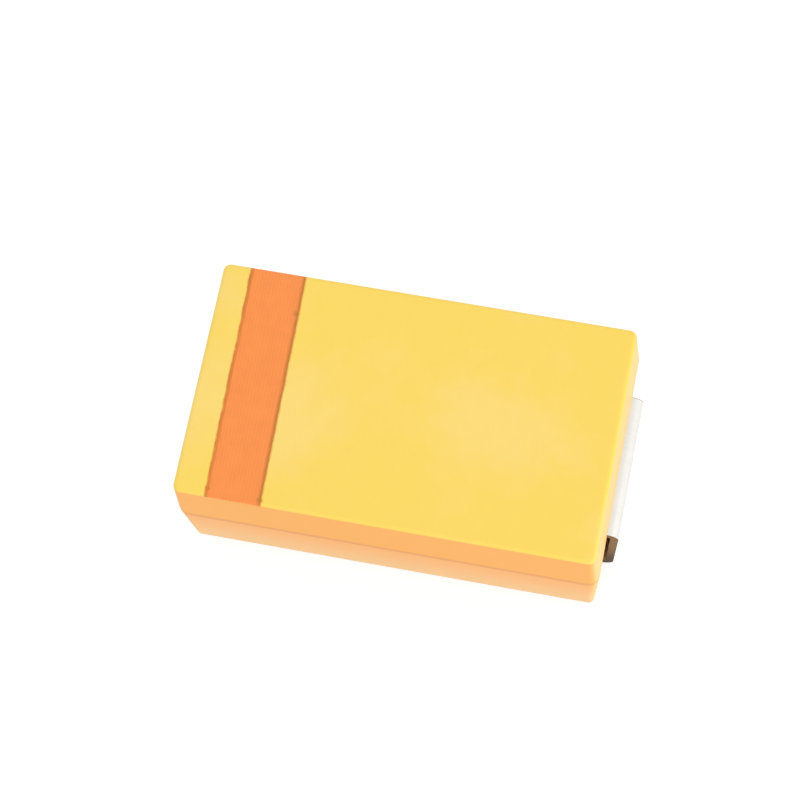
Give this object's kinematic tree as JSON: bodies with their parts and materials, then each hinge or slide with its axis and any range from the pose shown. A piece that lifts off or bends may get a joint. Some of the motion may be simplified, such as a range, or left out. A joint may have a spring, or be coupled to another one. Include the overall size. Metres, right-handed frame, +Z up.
{
  "type": "moulded tantalum chip capacitor",
  "caption": "Surface-mount tantalum capacitor: drafted yellow resin case with a polarity bar across the top and flat terminals folded under each end.",
  "frame": {"origin": "middle of the footprint, on the plane of the two terminal feet, where the part meets the board", "axes": "+X along the length towards the cathode (negative) end, so the polarity bar is at -X; +Y across the width; +Z up from the board"},
  "size_m": [0.0074, 0.0042, 0.0028],
  "materials": {
    "moulded_resin": "satin moulded epoxy, golden yellow, with a laser-marked orange-brown bar",
    "tinned_strip": "matt tin plating, bare brown metal on the cut edges",
    "sintered_tantalum": "dark porous sinter",
    "tantalum_wire": "drawn wire",
    "white_fluoropolymer": "waxy white",
    "manganese_dioxide": "dull black crust",
    "graphite": "dark grey film with a slight sheen",
    "silver_paint": "matt silver-filled paint",
    "silver_adhesive": "grey silver-filled epoxy"
  },
  "bodies": {
    "root": {"case": "moulded_resin", "anode_terminal": "tinned_strip", "cathode_terminal": "tinned_strip", "tantalum_slug": "sintered_tantalum", "riser_wire": "tantalum_wire", "insulating_washer": "white_fluoropolymer", "manganese_dioxide_coat": "manganese_dioxide", "graphite_coat": "graphite", "silver_coat": "silver_paint", "silver_adhesive": "silver_adhesive"}
  },
  "joints": []
}
